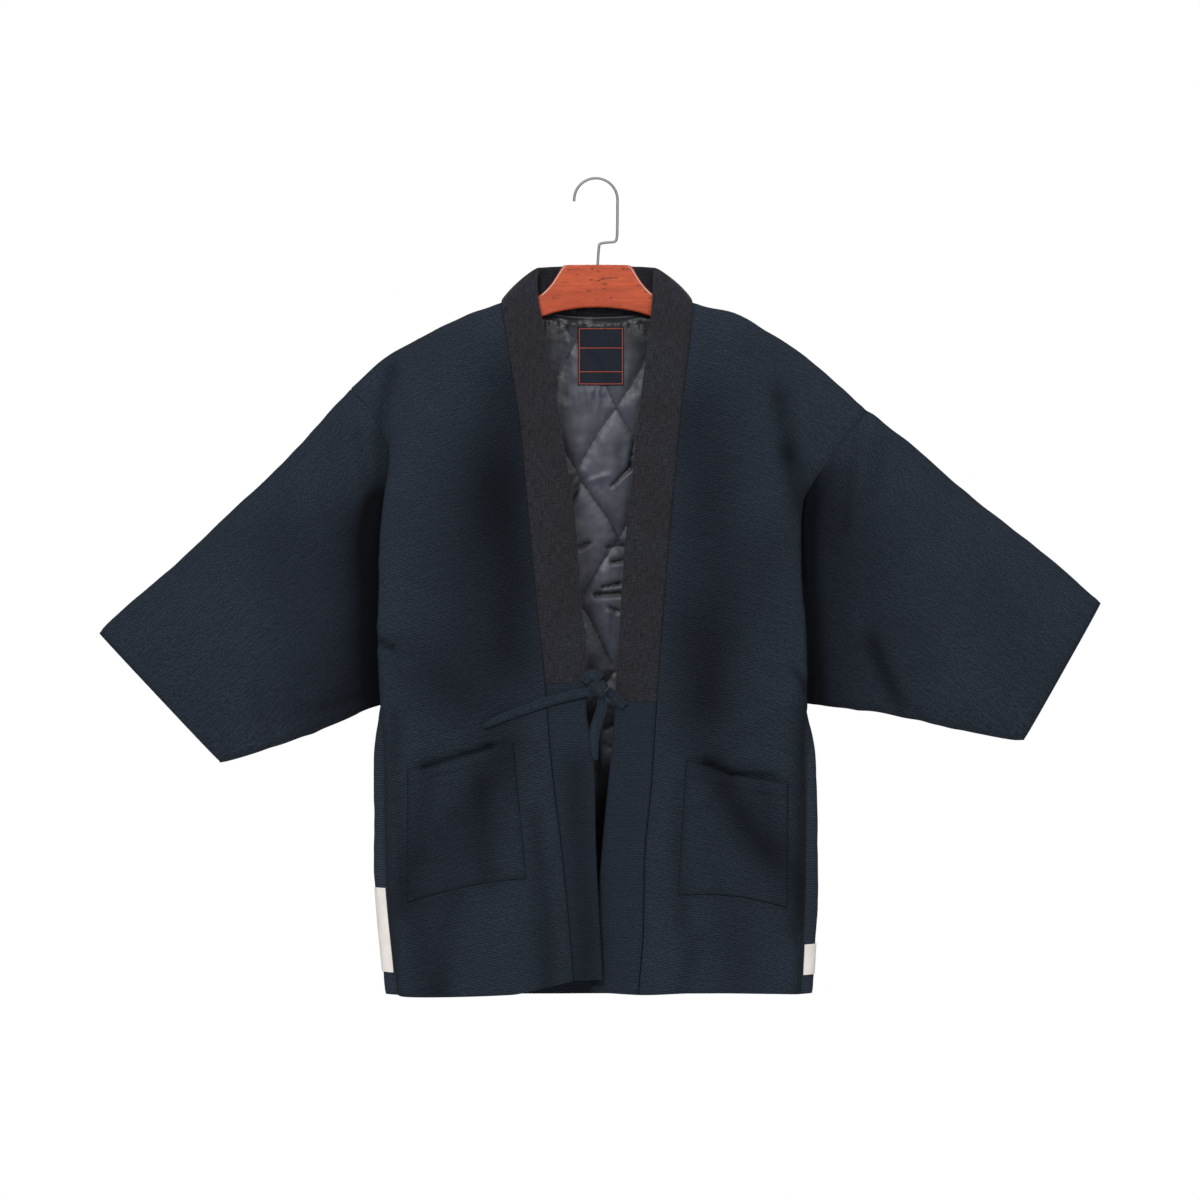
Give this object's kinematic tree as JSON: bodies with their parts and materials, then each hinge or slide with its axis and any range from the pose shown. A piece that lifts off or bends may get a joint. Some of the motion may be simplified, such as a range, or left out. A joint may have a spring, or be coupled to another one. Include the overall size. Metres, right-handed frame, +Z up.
{
  "type": "kimono jacket on a hanger",
  "caption": "Padded kimono jacket with a wide collar, patch pockets and a tie in front, hanging open on a flat wooden hanger with a wire hook.",
  "frame": {"origin": "inner top of the wire hook, where the nail or rail carries it", "axes": "+Z up, +X towards the wearer's left sleeve, the front of the jacket faces -Y"},
  "size_m": [1.1568, 0.103, 0.9438],
  "materials": {
    "navy_crinkle_cloth": "woven cotton with a fine crinkled rib, matt, padded",
    "black_slub_cloth": "plain woven slub cotton, matt",
    "charcoal_satin": "satin, diamond quilted",
    "cream_tape": "plain woven tape, matt",
    "navy_label_weave": "fine damask weave, slight sheen",
    "red_brown_wood": "clear varnish, satin",
    "polished_steel": "polished"
  },
  "bodies": {
    "root": {"body_right": "navy_crinkle_cloth", "body_left": "navy_crinkle_cloth", "sleeve_right": "navy_crinkle_cloth", "sleeve_left": "navy_crinkle_cloth", "gusset_right": "navy_crinkle_cloth", "gusset_left": "navy_crinkle_cloth", "band_right": "navy_crinkle_cloth", "band_left": "navy_crinkle_cloth", "pocket_right": "navy_crinkle_cloth", "pocket_left": "navy_crinkle_cloth", "tie_knot": "navy_crinkle_cloth", "tie_root_right": "navy_crinkle_cloth", "tie_root_left": "navy_crinkle_cloth", "tie_tail_side": "navy_crinkle_cloth", "tie_tail_down": "navy_crinkle_cloth", "collar": "black_slub_cloth", "lining_back": "charcoal_satin", "neck_label": "navy_label_weave", "side_label_right": "cream_tape", "side_label_left": "cream_tape", "hanger_wood": "red_brown_wood", "hanger_hook": "polished_steel"}
  },
  "joints": []
}
